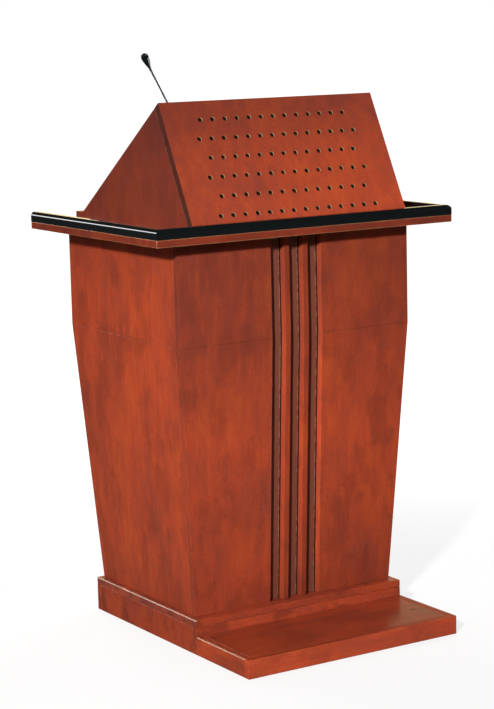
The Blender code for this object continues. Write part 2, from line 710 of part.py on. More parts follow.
def make_microphone():
    surface = reading_place() @ Vector((MIC_X, MIC_DOWN, -READING_INSET + GAP))
    flange = [(0.0, 0.009), (0.0045, 0.009), (0.0055, 0.008), (0.0060, 0.0045), (0.0145, 0.0038),
              (0.0165, 0.0022), (0.0170, 0.0), (0.0, 0.0)]
    base = turned("mic_flange", flange, "black_metal", lean_place(surface, READING_ANGLE))
    shade_round(base)

    socket_start = neck_point(MIC_SOCKET_RISE)
    socket_end = neck_point(MIC_BEND_RISE - NECK_RADIUS - GAP)
    lower = cylinder("mic_lower_neck", SOCKET_RADIUS, socket_start, socket_end, "black_metal", 16)
    set_origin(lower, socket_start)

    stem_length = MIC_NECK - MIC_BEND_RISE - NECK_STOP
    ball = [(NECK_RADIUS * math.cos(math.radians(a)), -NECK_RADIUS * math.sin(math.radians(a)))
            for a in (0, 30, 60, 90)]
    stem_profile = [(0.0, stem_length), (NECK_RADIUS, stem_length)] + ball[:-1] + [(0.0, -NECK_RADIUS)]
    bend_place = lean_place(neck_point(MIC_BEND_RISE), MIC_LEAN)
    stem = turned("mic_stem", stem_profile, "black_metal", bend_place, 16)
    shade_round(stem)

    place = lean_place(neck_point(MIC_NECK), MIC_HEAD_LEAN)
    body_top = MIC_HEAD - MIC_GRILLE
    rim = MIC_HEAD_RADIUS - 0.0004
    body = [(0.0, body_top), (rim, body_top), (rim - 0.0004, body_top - 0.006), (0.0052, 0.012),
            (0.0032, 0.0045), (0.0026, 0.0), (0.0, 0.0)]
    head = turned("mic_head", body, "black_gloss", place)
    shade_round(head)
    crown = MIC_GRILLE - 0.004
    grille = [(0.0, MIC_HEAD)]
    for angle in (25, 50, 75, 90):
        turn = math.radians(angle)
        grille.append((MIC_HEAD_RADIUS * math.sin(turn), MIC_HEAD - crown * (1 - math.cos(turn))))
    grille += [(MIC_HEAD_RADIUS, body_top + GAP), (0.0, body_top + GAP)]
    mesh_cap = turned("mic_grille", grille, "steel", place)
    shade_round(mesh_cap)


# ---------------------------------------------------------------- amplifier
def make_knob(name, x, z, radius):
    """A control knob whose axis points at the speaker."""
    skirt = radius + 0.001
    profile = [(0.0, 0.014), (radius - 0.001, 0.014), (radius, 0.0125), (skirt, 0.001), (skirt, 0.0),
               (0.0, 0.0)]
    place = Matrix.Translation((x, AMP_REAR + GAP, z)) @ FACING_SPEAKER
    knob = turned(name, profile, "black_plastic", place, 20)
    shade_round(knob)


def make_amplifier():
    """A sheet-metal case on the cupboard shelf, vented by its open side away from the doors."""
    bottom = MID_SHELF_BOTTOM + BOARD + GAP
    top = bottom + AMP_HEIGHT
    case = board("amplifier_case", (-AMP_HALF, AMP_FRONT, bottom), (AMP_HALF, AMP_REAR, top),
                 "black_metal", 0.001)
    inside = box_mesh("amplifier_inside", (AMP_SHEET - AMP_HALF, AMP_FRONT - CUT_PAST, bottom + AMP_SHEET),
                      (AMP_HALF - AMP_SHEET, AMP_REAR - AMP_SHEET, top - AMP_SHEET))
    combine(case, cutter("amplifier_inside", inside), "DIFFERENCE")
    make_knob("volume_knob", VOLUME_X, (bottom + top) / 2, VOLUME_RADIUS)


LECTERN = None
GUIDES = None
CUTTERS = None


def main():
    global LECTERN, GUIDES, CUTTERS
    clear_scene()
    LECTERN = new_collection("lectern")
    GUIDES = new_collection("guides")
    CUTTERS = new_collection("cutters")
    make_plinth()
    make_step()
    make_body()
    make_shelves()
    make_rear_frame()
    make_door("left", -1)
    make_door("right", 1)
    make_catch()
    make_table()
    make_rails()
    make_cheeks()
    make_front_panel()
    make_reading_panel()
    make_loudspeakers()
    make_microphone()
    make_amplifier()


main()
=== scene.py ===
import json
import math

import bmesh
import bpy
from mathutils import Matrix, Vector


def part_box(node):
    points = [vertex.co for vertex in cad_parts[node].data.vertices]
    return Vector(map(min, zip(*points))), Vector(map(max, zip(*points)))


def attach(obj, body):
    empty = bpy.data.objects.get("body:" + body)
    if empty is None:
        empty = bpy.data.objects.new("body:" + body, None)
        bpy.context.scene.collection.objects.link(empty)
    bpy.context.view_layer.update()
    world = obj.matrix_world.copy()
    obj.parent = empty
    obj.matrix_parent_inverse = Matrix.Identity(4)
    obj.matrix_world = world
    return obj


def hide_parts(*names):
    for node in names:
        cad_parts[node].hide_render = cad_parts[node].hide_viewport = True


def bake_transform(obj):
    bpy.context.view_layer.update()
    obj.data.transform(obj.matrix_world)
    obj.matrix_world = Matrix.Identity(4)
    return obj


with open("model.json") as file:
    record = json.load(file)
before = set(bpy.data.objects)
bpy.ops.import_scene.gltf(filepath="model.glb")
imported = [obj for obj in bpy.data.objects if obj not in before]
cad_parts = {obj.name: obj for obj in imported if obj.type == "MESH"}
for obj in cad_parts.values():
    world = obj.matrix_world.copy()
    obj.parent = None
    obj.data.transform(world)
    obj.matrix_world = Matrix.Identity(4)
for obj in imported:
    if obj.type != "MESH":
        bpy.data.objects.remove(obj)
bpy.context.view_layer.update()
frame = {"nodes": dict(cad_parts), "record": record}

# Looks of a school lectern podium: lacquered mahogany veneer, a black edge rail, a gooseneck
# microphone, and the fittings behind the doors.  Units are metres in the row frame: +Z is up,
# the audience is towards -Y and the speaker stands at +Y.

FACING_SPEAKER = Matrix.Rotation(-math.pi / 2, 4, "X")    # turns local Z to +Y


# ---------------------------------------------------------------- node helpers
def new_material(name):
    """A material with its node tree and its Principled shader."""
    material = bpy.data.materials.new(name)
    material.use_nodes = True
    tree = material.node_tree
    return material, tree, tree.nodes["Principled BSDF"]


def link(tree, source, target):
    tree.links.new(source, target)


def plug(tree, socket, value):
    """Sets a socket to a number or links it to another socket."""
    if isinstance(value, bpy.types.NodeSocket):
        tree.links.new(value, socket)
    else:
        socket.default_value = value


def place_texture(tree, scale=(1, 1, 1), offset=(0, 0, 0), turn=(0, 0, 0)):
    """Object coordinates, which are the row frame's metres, stretched and shifted."""
    where = tree.nodes.new("ShaderNodeTexCoord")
    mapping = tree.nodes.new("ShaderNodeMapping")
    mapping.inputs["Location"].default_value = offset
    mapping.inputs["Rotation"].default_value = turn
    mapping.inputs["Scale"].default_value = scale
    link(tree, where.outputs["Object"], mapping.inputs["Vector"])
    return mapping.outputs["Vector"]


def noise(tree, vector, scale, detail=3.0, roughness=0.5):
    item = tree.nodes.new("ShaderNodeTexNoise")
    item.inputs["Scale"].default_value = scale
    item.inputs["Detail"].default_value = detail
    item.inputs["Roughness"].default_value = roughness
    link(tree, vector, item.inputs["Vector"])
    return item.outputs["Fac"]


def compute(tree, operation, first, second=0.0):
    item = tree.nodes.new("ShaderNodeMath")
    item.operation = operation
    plug(tree, item.inputs[0], first)
    plug(tree, item.inputs[1], second)
    return item.outputs[0]


def remap(tree, value, low, high, to_low=0.0, to_high=1.0):
    item = tree.nodes.new("ShaderNodeMapRange")
    item.interpolation_type = "SMOOTHSTEP"
    plug(tree, item.inputs["Value"], value)
    item.inputs["From Min"].default_value = low
    item.inputs["From Max"].default_value = high
    item.inputs["To Min"].default_value = to_low
    item.inputs["To Max"].default_value = to_high
    return item.outputs["Result"]


def remap_straight(tree, value, low, high):
    item = tree.nodes.new("ShaderNodeMapRange")
    plug(tree, item.inputs["Value"], value)
    item.inputs["From Min"].default_value = low
    item.inputs["From Max"].default_value = high
    return item.outputs["Result"]


def ramp(tree, value, stops, interpolation="LINEAR"):
    """stops are (position, linear colour) pairs."""
    item = tree.nodes.new("ShaderNodeValToRGB")
    item.color_ramp.interpolation = interpolation
    points = item.color_ramp.elements
    while len(points) < len(stops):
        points.new(1.0)
    for point, (position, colour) in zip(points, stops):
        point.position = position
        point.color = (*colour, 1.0)
    link(tree, value, item.inputs["Fac"])
    return item.outputs["Color"]


def mix(tree, share, first, second, blend="MIX"):
    """Colours mixed by a share; each may be a linear colour or a socket."""
    item = tree.nodes.new("ShaderNodeMix")
    item.data_type = "RGBA"
    item.blend_type = blend
    plug(tree, item.inputs["Factor"], share)
    for number, colour in ((6, first), (7, second)):
        is_socket = isinstance(colour, bpy.types.NodeSocket)
        plug(tree, item.inputs[number], colour if is_socket else (*colour, 1.0))
    return item.outputs[2]


def bump(tree, shader, height, strength, distance):
    """Adds a bump on top of those that the shader already has."""
    item = tree.nodes.new("ShaderNodeBump")
    item.inputs["Strength"].default_value = strength
    item.inputs["Distance"].default_value = distance
    link(tree, height, item.inputs["Height"])
    below = shader.inputs["Normal"]
    if below.is_linked:
        link(tree, below.links[0].from_socket, item.inputs["Normal"])
    link(tree, item.outputs["Normal"], below)


def dot(tree, vector, direction):
    """The dot product of a socket with a fixed direction or another socket."""
    item = tree.nodes.new("ShaderNodeVectorMath")
    item.operation = "DOT_PRODUCT"
    link(tree, vector, item.inputs[0])
    plug(tree, item.inputs[1], direction)
    return item.outputs["Value"]


def edge_share(tree, width, toward=None):
    """1 along the edges of a shape, or only those turned toward a direction, and 0 on its faces."""
    rounded = tree.nodes.new("ShaderNodeBevel")
    rounded.samples = 4
    rounded.inputs["Radius"].default_value = width
    geometry = tree.nodes.new("ShaderNodeNewGeometry")
    unbent = dot(tree, rounded.outputs["Normal"], geometry.outputs["Normal"])
    share = remap(tree, unbent, 0.995, 0.86)
    if toward:
        turned = remap(tree, dot(tree, rounded.outputs["Normal"], toward), 0.74, 0.90)
        share = compute(tree, "MULTIPLY", share, turned)
    return share


# ---------------------------------------------------------------- wood
WOOD_DARK = (0.230, 0.046, 0.027)
WOOD_MID = (0.380, 0.056, 0.023)
WOOD_LIGHT = (0.500, 0.080, 0.020)
WOOD_PORE = (0.110, 0.028, 0.018)
# pale arrises: wear, and on the table and ledge also painted highlight
WOOD_WEAR_AND_HIGHLIGHT = (0.820, 0.470, 0.200)
# painted highlight on arrises turned up and to the left
WOOD_HIGHLIGHT = (0.930, 0.780, 0.560)
WOOD_BROWN = (0.125, 0.052, 0.036)
DARK_PANEL_ENDS = (0.056, 0.015, 0.010)
# painted highlight: the pale line beside each flute's dark corner
FLUTE_PAINTED_HIGHLIGHT = (0.360, 0.170, 0.080)
RAW_WOOD = (0.640, 0.410, 0.180)
# painted shade deep in the drilled holes
HOLE_PAINTED_SHADE = (0.022, 0.012, 0.008)
# painted shade in the flutes' inner corners
CORNER_PAINTED_SHADE = (0.010, 0.007, 0.006)
ALONG = {"X": 0, "Y": 1, "Z": 2}
# width of the pale arris, least and most of it, its colour, and the way it has to face; the pale arris
# is wear, on the table and ledge also painted highlight, and the last kind, turned up and to the left,
# is painted highlight only
CRISP_EDGES = (0.0004, 0.0, 0.12, WOOD_WEAR_AND_HIGHLIGHT, None)
PLAIN_EDGES = (0.0009, 0.03, 0.50, WOOD_WEAR_AND_HIGHLIGHT, None)
RUBBED_AND_LIT_EDGES = (0.0022, 0.50, 0.90, WOOD_WEAR_AND_HIGHLIGHT, None)
LEFT_HIGHLIGHT_EDGES = (0.0060, 0.80, 1.00, WOOD_HIGHLIGHT, (-0.707, 0.0, 0.707))


def stretched(grain, along, across=1.0):
    """Texture scales that draw features out along the grain."""
    return [along if axis == ALONG[grain] else across for axis in range(3)]


def toned(colour, tone):
    return tuple(value * tone for value in colour)


def painted_light_and_shade(tree, colour, fade, axis="Z"):
    """Painted light and shade along an axis: fade is a list of (place, tone); a dark tone is browner.
    """
    where = tree.nodes.new("ShaderNodeSeparateXYZ")
    link(tree, place_texture(tree), where.inputs[0])
    low, high = fade[0][0], fade[-1][0]
    share = remap_straight(tree, where.outputs[axis], low, high)
    stops = [((spot - low) / (high - low), (tone, tone ** 0.72, tone ** 0.25)) for spot, tone in fade]
    return mix(tree, 1.0, colour, ramp(tree, share, stops, "EASE"), "MULTIPLY")


def wood(name, grain, seed, tone=1.0, fade=None, edges=PLAIN_EDGES, lacquer=0.05, blotched=0.0):
    """Mahogany veneer under lacquer: clouded colour, drawn-out figure, fine fibres and pores.

    edges is one of the four above, lacquer is the coat's weight, and blotched is how far
    dark stain shows in patches.
    """
    material, tree, shader = new_material(name)
    shift = (seed * 3.71, seed * 1.93, seed * 2.57)
    clouds = noise(tree, place_texture(tree, stretched(grain, 0.45), shift), 8.0, 2.0, 0.5)
    mottle = noise(tree, place_texture(tree, stretched(grain, 0.40), shift), 34.0, 3.0, 0.6)
    figure = noise(tree, place_texture(tree, stretched(grain, 0.12), shift), 60.0, 3.0, 0.55)
    flecks = noise(tree, place_texture(tree, stretched(grain, 0.30), shift), 430.0, 2.0, 0.6)
    fibres = noise(tree, place_texture(tree, stretched(grain, 0.05), shift), 330.0, 3.0, 0.6)
    pores = noise(tree, place_texture(tree, stretched(grain, 0.07), shift), 1500.0, 1.0, 0.5)

    shade = compute(tree, "MULTIPLY", clouds, 0.24)
    for layer, weight in ((mottle, 0.22), (figure, 0.20), (flecks, 0.20), (fibres, 0.14)):
        shade = compute(tree, "ADD", shade, compute(tree, "MULTIPLY", layer, weight))
    colour = ramp(tree, shade, [
        (0.36, toned(WOOD_DARK, tone)), (0.50, toned(WOOD_MID, tone)), (0.64, toned(WOOD_LIGHT, tone)),
    ])
    pore_share = remap(tree, pores, 0.52, 0.72, 0.0, 0.30)
    colour = mix(tree, pore_share, colour, toned(WOOD_PORE, tone))
    # painted light and shade along the board
    if fade:
        colour = painted_light_and_shade(tree, colour, fade)
    if blotched:
        patches = noise(tree, place_texture(tree, stretched(grain, 0.6), shift), 15.0, 4.0, 0.6)
        share = remap(tree, patches, 0.46, 0.62, 0.0, blotched)
        colour = mix(tree, share, colour, toned(WOOD_DARK, 0.55 * tone))
    # pale arrises: wear and painted highlight
    wear_and_highlight_breaks = noise(tree, place_texture(tree), 55.0, 2.0)
    width, least, most, wear_and_highlight_colour, toward = edges
    wear_and_highlight_amount = remap(tree, wear_and_highlight_breaks, 0.36, 0.60, least, most)
    wear_and_highlight = compute(tree, "MULTIPLY", edge_share(tree, width, toward), wear_and_highlight_amount)
    colour = mix(tree, wear_and_highlight, colour, wear_and_highlight_colour)
    link(tree, colour, shader.inputs["Base Color"])

    smudges = noise(tree, place_texture(tree), 21.0, 3.0)
    rough = compute(tree, "ADD", compute(tree, "MULTIPLY", smudges, 0.14), 0.23)
    rough = compute(tree, "ADD", rough, compute(tree, "MULTIPLY", pore_share, 0.4))
    link(tree, rough, shader.inputs["Roughness"])
    shader.inputs["Specular IOR Level"].default_value = 0.02 + lacquer / 3
    shader.inputs["Coat Weight"].default_value = lacquer
    shader.inputs["Coat Roughness"].default_value = 0.09
    bump(tree, shader, fibres, 0.10, 0.0003)
    bump(tree, shader, pores, 0.06, 0.0003)
    bump(tree, shader, clouds, 0.10, 0.0010)
    return material


def panel_wood(name, grain, seed, tone, fade, outward, face_point, ends, top):
    """Veneer over a drilled board: its holes show a raw rim and painted shade in their depth.

    outward is the face's direction, face_point lies on the face, and beyond the half width
    ends the board's sides are dark.  No hole reaches above the height top.
    """
    material = wood(name, grain, seed, tone, fade, CRISP_EDGES)
    tree = material.node_tree
    shader = tree.nodes["Principled BSDF"]
    # painted light and shade across the panel, darker at its left and lighter at its right
    surface = painted_light_and_shade(tree, shader.inputs["Base Color"].links[0].from_socket, PANEL_SIDE_FADE, "X")
    geometry = tree.nodes.new("ShaderNodeNewGeometry")
    facing = dot(tree, geometry.outputs["True Normal"], outward)
    sideways = compute(tree, "LESS_THAN", compute(tree, "ABSOLUTE", facing), 0.3)
    place = place_texture(tree)
    level = sum(a * b for a, b in zip(outward, face_point))
    depth = compute(tree, "SUBTRACT", level, dot(tree, place, outward))
    where = tree.nodes.new("ShaderNodeSeparateXYZ")
    link(tree, place, where.inputs[0])
    outside = compute(tree, "GREATER_THAN", compute(tree, "ABSOLUTE", where.outputs["X"]), ends)
    fibres = noise(tree, place, 900.0, 2.0)
    raw = mix(tree, fibres, toned(RAW_WOOD, 0.6), RAW_WOOD)
    # painted shade: the holes' walls turn dark with depth below the face
    hole = mix(tree, remap(tree, depth, 0.0014, 0.0036), raw, HOLE_PAINTED_SHADE)
    # the panel's end faces, beyond ends, are dark
    patches = noise(tree, place_texture(tree, stretched("Z", 0.4)), 60.0, 3.0)
    dark_ends = mix(tree, patches, DARK_PANEL_ENDS, toned(DARK_PANEL_ENDS, 1.5))
    above = compute(tree, "GREATER_THAN", where.outputs["Z"], top)
    side = mix(tree, outside, mix(tree, above, hole, surface), dark_ends)
    link(tree, mix(tree, sideways, surface, side), shader.inputs["Base Color"])
    return material


def flute_wood(name, seed, tone, corners, reach):
    """The brown board behind the flutes, with painted shade in one inner corner of each: a dark line,
    with a broken painted highlight line beside it.

    corners are the X of those corners, and reach is the width of the painted shade line beside each.
    """
    material = wood(name, "Z", seed, tone, None, CRISP_EDGES)
    tree = material.node_tree
    shader = tree.nodes["Principled BSDF"]
    colour = shader.inputs["Base Color"].links[0].from_socket
    where = tree.nodes.new("ShaderNodeSeparateXYZ")
    link(tree, place_texture(tree), where.inputs[0])

    def stripe(centre, half):
        distance = compute(tree, "ABSOLUTE", compute(tree, "SUBTRACT", where.outputs["X"], centre))
        return remap(tree, distance, half, half * 0.6)

    geometry = tree.nodes.new("ShaderNodeNewGeometry")
    ahead = dot(tree, geometry.outputs["True Normal"], (0.0, -1.0, 0.0))
    front = compute(tree, "GREATER_THAN", ahead, 0.3)
    breaks = remap(tree, noise(tree, place_texture(tree), 70.0, 3.0), 0.40, 0.62)
    brown = mix(tree, 0.80, colour, toned(WOOD_BROWN, tone))
    for corner in corners:
        # painted highlight: a broken pale line beside the dark corner line
        pale = compute(tree, "MULTIPLY", stripe(corner - reach - 0.0008, 0.0010), breaks)
        brown = mix(tree, pale, brown, FLUTE_PAINTED_HIGHLIGHT)
        # painted shade: a dark line in the inner corner, where the ridge meets the board
        brown = mix(tree, stripe(corner - reach / 2, reach / 2), brown, CORNER_PAINTED_SHADE)
    link(tree, mix(tree, front, colour, brown), shader.inputs["Base Color"])
    return material


def retone(material, tone, facing, reach=None):
    """Tones the faces that look along an axis, and with a reach only those close to the middle."""
    tree = material.node_tree
    shader = tree.nodes["Principled BSDF"]
    colour = shader.inputs["Base Color"].links[0].from_socket
    geometry = tree.nodes.new("ShaderNodeNewGeometry")
    along = compute(tree, "ABSOLUTE", dot(tree, geometry.outputs["True Normal"], facing))
    share = compute(tree, "GREATER_THAN", along, 0.7)
    if reach:
        from_middle = compute(tree, "ABSOLUTE", dot(tree, place_texture(tree), (1.0, 0.0, 0.0)))
        share = compute(tree, "MULTIPLY", share, compute(tree, "LESS_THAN", from_middle, reach))
    link(tree, mix(tree, share, colour, (tone, tone, tone), "MULTIPLY"), shader.inputs["Base Color"])


# ---------------------------------------------------------------- other finishes
def gloss_black(name, colour=(0.004, 0.0055, 0.006), rough=0.07):
    """Polished black plastic or lacquer with faint dust and scratches."""
    material, tree, shader = new_material(name)
    dust = noise(tree, place_texture(tree), 240.0, 4.0, 0.7)
    haze = noise(tree, place_texture(tree), 26.0, 3.0)
    scratches = noise(tree, place_texture(tree, (1.0, 0.04, 1.0)), 900.0, 2.0)
    tint = mix(tree, remap(tree, dust, 0.55, 0.75, 0.0, 0.5), colour, toned(colour, 2.2))
    link(tree, tint, shader.inputs["Base Color"])
    roughness = compute(tree, "ADD", compute(tree, "MULTIPLY", haze, 0.06), rough - 0.03)
    link(tree, roughness, shader.inputs["Roughness"])
    shader.inputs["Specular IOR Level"].default_value = 0.5
    shader.inputs["Coat Weight"].default_value = 0.35
    shader.inputs["Coat Roughness"].default_value = 0.03
    bump(tree, shader, scratches, 0.04, 0.0001)
    bump(tree, shader, haze, 0.04, 0.0006)
    return material


def moulded_black(name, colour=(0.020, 0.020, 0.022), rough=0.48):
    """Black plastic with a fine moulded texture."""
    material, tree, shader = new_material(name)
    pits = noise(tree, place_texture(tree), 1600.0, 2.0)
    patches = noise(tree, place_texture(tree), 40.0, 3.0)
    link(tree, mix(tree, patches, toned(colour, 0.8), toned(colour, 1.35)), shader.inputs["Base Color"])
    link(tree, remap(tree, patches, 0.3, 0.7, rough - 0.06, rough + 0.08), shader.inputs["Roughness"])
    bump(tree, shader, pits, 0.25, 0.0002)
    return material


def painted_metal(name, colour=(0.016, 0.017, 0.019), rough=0.42, metallic=0.0):
    """Powder-coated metal: orange peel, and bright metal where the edges are rubbed."""
    material, tree, shader = new_material(name)
    peel = noise(tree, place_texture(tree), 750.0, 2.0)
    patches = noise(tree, place_texture(tree), 60.0, 3.0)
    surface = mix(tree, patches, toned(colour, 0.8), toned(colour, 1.3))
    rubbed = compute(tree, "MULTIPLY", edge_share(tree, 0.0006), remap(tree, patches, 0.5, 0.7))
    link(tree, mix(tree, rubbed, surface, (0.22, 0.22, 0.23)), shader.inputs["Base Color"])
    link(tree, remap(tree, patches, 0.3, 0.7, rough - 0.07, rough + 0.07), shader.inputs["Roughness"])
    shader.inputs["Metallic"].default_value = metallic
    bump(tree, shader, peel, 0.18, 0.0002)
    return material


def brushed_metal(name, colour, rough, brush):
    """Bare metal; brush names the axis along which its fine scratches run, or is None."""
    material, tree, shader = new_material(name)
    scale = stretched(brush, 0.02) if brush else (1, 1, 1)
    lines = noise(tree, place_texture(tree, scale), 1400.0, 2.0)
    stain = noise(tree, place_texture(tree), 70.0, 4.0, 0.6)
    link(tree, mix(tree, stain, toned(colour, 0.86), colour), shader.inputs["Base Color"])
    streaks = compute(tree, "MULTIPLY", lines, 0.12)
    share = compute(tree, "ADD", streaks, compute(tree, "MULTIPLY", stain, 0.06))
    link(tree, compute(tree, "ADD", share, rough - 0.09), shader.inputs["Roughness"])
    shader.inputs["Metallic"].default_value = 0.75
    bump(tree, shader, lines, 0.10, 0.0001)
    return material


def woven_cloth(name, colour):
    """Open black loudspeaker cloth: threads at right angles."""
    material, tree, shader = new_material(name)
    height = None
    for turn in ((0, 0, 0), (0, 0, math.pi / 2)):
        wave = tree.nodes.new("ShaderNodeTexWave")
        wave.bands_direction = "X"
        wave.inputs["Scale"].default_value = 320.0
        wave.inputs["Distortion"].default_value = 0.6
        link(tree, place_texture(tree, turn=turn), wave.inputs["Vector"])
        thread = wave.outputs["Fac"]
        height = thread if height is None else compute(tree, "MAXIMUM", height, thread)
    lint = noise(tree, place_texture(tree), 260.0, 3.0)
    weave = mix(tree, height, toned(colour, 0.35), colour)
    link(tree, mix(tree, remap(tree, lint, 0.6, 0.8, 0.0, 0.4), weave, toned(colour, 2.2)),
         shader.inputs["Base Color"])
    link(tree, remap(tree, lint, 0.2, 0.8, 0.82, 0.98), shader.inputs["Roughness"])
    shader.inputs["Sheen Weight"].default_value = 0.15
    bump(tree, shader, height, 0.5, 0.0004)
    return material


def paper(name, colour):
    """Pressed black paper of a loudspeaker cone."""
    material, tree, shader = new_material(name)
    pulp = noise(tree, place_texture(tree), 420.0, 5.0, 0.7)
    link(tree, mix(tree, pulp, toned(colour, 0.6), toned(colour, 1.6)), shader.inputs["Base Color"])
    link(tree, remap(tree, pulp, 0.3, 0.7, 0.72, 0.9), shader.inputs["Roughness"])
    bump(tree, shader, pulp, 0.3, 0.0004)
    return material


def glowing(name, colour, strength):
    """A small indicator lamp with a brighter heart."""
    material, tree, shader = new_material(name)
    spots = noise(tree, place_texture(tree), 900.0, 2.0)
    link(tree, mix(tree, spots, toned(colour, 0.6), colour), shader.inputs["Base Color"])
    link(tree, mix(tree, spots, toned(colour, 0.8), colour), shader.inputs["Emission Color"])
    link(tree, remap(tree, spots, 0.3, 0.7, 0.18, 0.30), shader.inputs["Roughness"])
    shader.inputs["Emission Strength"].default_value = strength
    return material


# ---------------------------------------------------------------- finishes of the CAD nodes
PANEL_RUN, PANEL_RISE = 0.1395, 0.275       # how far the front panel leans back, and its height
FRONT_LEAN = math.atan2(PANEL_RUN, PANEL_RISE)
PANEL_END = 0.004            # the panel's dark side begins this far within its box
PANEL_BEVEL = 0.016          # no hole is drilled this close below the panel's top
SHADE_LINE_WIDTH = 0.0036          # width of the painted shade line in a flute's corner
# painted light: the sideways walls of the flutes are brightened by this tone
FLUTE_WALL_PAINTED_LIGHT = 1.45
FLUTES_REACH = 0.10          # half width of the strip that holds the flutes
POLISHED, SATIN = 0.24, 0.03         # weight of the lacquer's coat
BLOTCHED, CLOUDED = 0.60, 0.30       # how far dark stain shows in patches

# places along the board in metres, each with its tone; the tones are painted light and shade, such as
# the darker band below the table and the darker tops of the desk
LEFT_FADE = [(0.078, 0.86), (0.20, 0.97), (0.42, 1.03), (0.60, 0.80), (0.70, 0.66), (0.909, 0.60)]
RIGHT_FADE = [(0.078, 0.76), (0.20, 0.98), (0.42, 1.10), (0.60, 0.95), (0.70, 0.80), (0.909, 0.68)]
SIDE_FADE = [(0.078, 0.98), (0.20, 1.09), (0.60, 1.12), (0.80, 1.06), (0.909, 1.02)]
CHEEK_FADE = [(0.925, 0.54), (1.05, 0.52), (1.20, 0.33)]
PANEL_FADE = [(0.925, 1.04), (1.05, 0.96), (1.20, 0.66)]
PANEL_SIDE_FADE = [(-0.278, 0.80), (0.0, 0.98), (0.278, 1.12)]
PLINTH_FADE = [(0.0, 0.96), (0.062, 0.86)]
STEP_TOP = 0.78              # tone of the whole top of the step

WOOD_BOARDS = {
    # node: (grain, seed, tone, fade); boards of one seed show one sheet of veneer
    "step_front_board": ("X", 1, 1.32, None), "step_left_board": ("Y", 2, 1.08, None),
    "step_right_board": ("Y", 3, 1.08, None), "step_tread": ("X", 4, STEP_TOP, None),
    "plinth_front_board": ("X", 5, 1.08, None), "plinth_rear_board": ("X", 6, 0.84, None),
    "plinth_left_board": ("Z", 7, 1.0, PLINTH_FADE), "plinth_right_board": ("Z", 8, 1.0, PLINTH_FADE),
    "plinth_deck": ("X", 9, 0.90, None),
    "lower_left_front": ("Z", 10, 1.0, LEFT_FADE), "upper_left_front": ("Z", 10, 1.0, LEFT_FADE),
    "lower_right_front": ("Z", 11, 1.0, RIGHT_FADE), "upper_right_front": ("Z", 11, 1.0, RIGHT_FADE),
    "lower_left_side": ("Z", 12, 1.0, SIDE_FADE), "upper_left_side": ("Z", 12, 1.0, SIDE_FADE),
    "lower_right_side": ("Z", 13, 1.0, SIDE_FADE), "upper_right_side": ("Z", 13, 1.0, SIDE_FADE),
    "flute_ridge_left": ("Z", 14, 0.86, RIGHT_FADE), "flute_ridge_right": ("Z", 15, 0.86, RIGHT_FADE),
    "book_shelf": ("X", 16, 0.95, None), "cupboard_shelf": ("X", 17, 0.95, None),
    "shelf_cleat_left": ("Y", 18, 0.9, None), "shelf_cleat_right": ("Y", 19, 0.9, None),
    "rear_left_stile": ("Z", 20, 0.98, None), "rear_right_stile": ("Z", 21, 0.98, None),
    "left_door": ("Z", 22, 1.0, None), "right_door": ("Z", 23, 1.0, None),
    "table_board": ("X", 24, 0.56, None),
    "desk_left_cheek": ("Z", 25, 1.0, CHEEK_FADE), "desk_right_cheek": ("Z", 26, 1.0, CHEEK_FADE),
    "reading_panel": ("X", 27, 0.9, None), "desk_ledge": ("X", 28, 0.86, None),
}
# painted highlight on the arrises turned up and to the left; wear and painted highlight on the table
# and ledge
LEFT_HIGHLIGHT_BOARDS = ("plinth_deck", "step_left_board")
RUBBED_AND_LIT_BOARDS = ("table_board", "desk_ledge")
CRISP_BOARDS = ("lower_", "upper_", "plinth_front", "flute_", "step_")     # how their names begin
STEP_RIM = ("step_front_board", "step_left_board", "step_right_board")
POLISHED_BOARDS = ("step_tread", "table_board", "plinth_deck", "reading_panel", "desk_ledge")


def board_edges(name):
    """How a board's arrises are rubbed, and where a pale highlight is painted on them."""
    if name in LEFT_HIGHLIGHT_BOARDS:
        return LEFT_HIGHLIGHT_EDGES
    if name in RUBBED_AND_LIT_BOARDS:
        return RUBBED_AND_LIT_EDGES
    return CRISP_EDGES if name.startswith(CRISP_BOARDS) else PLAIN_EDGES


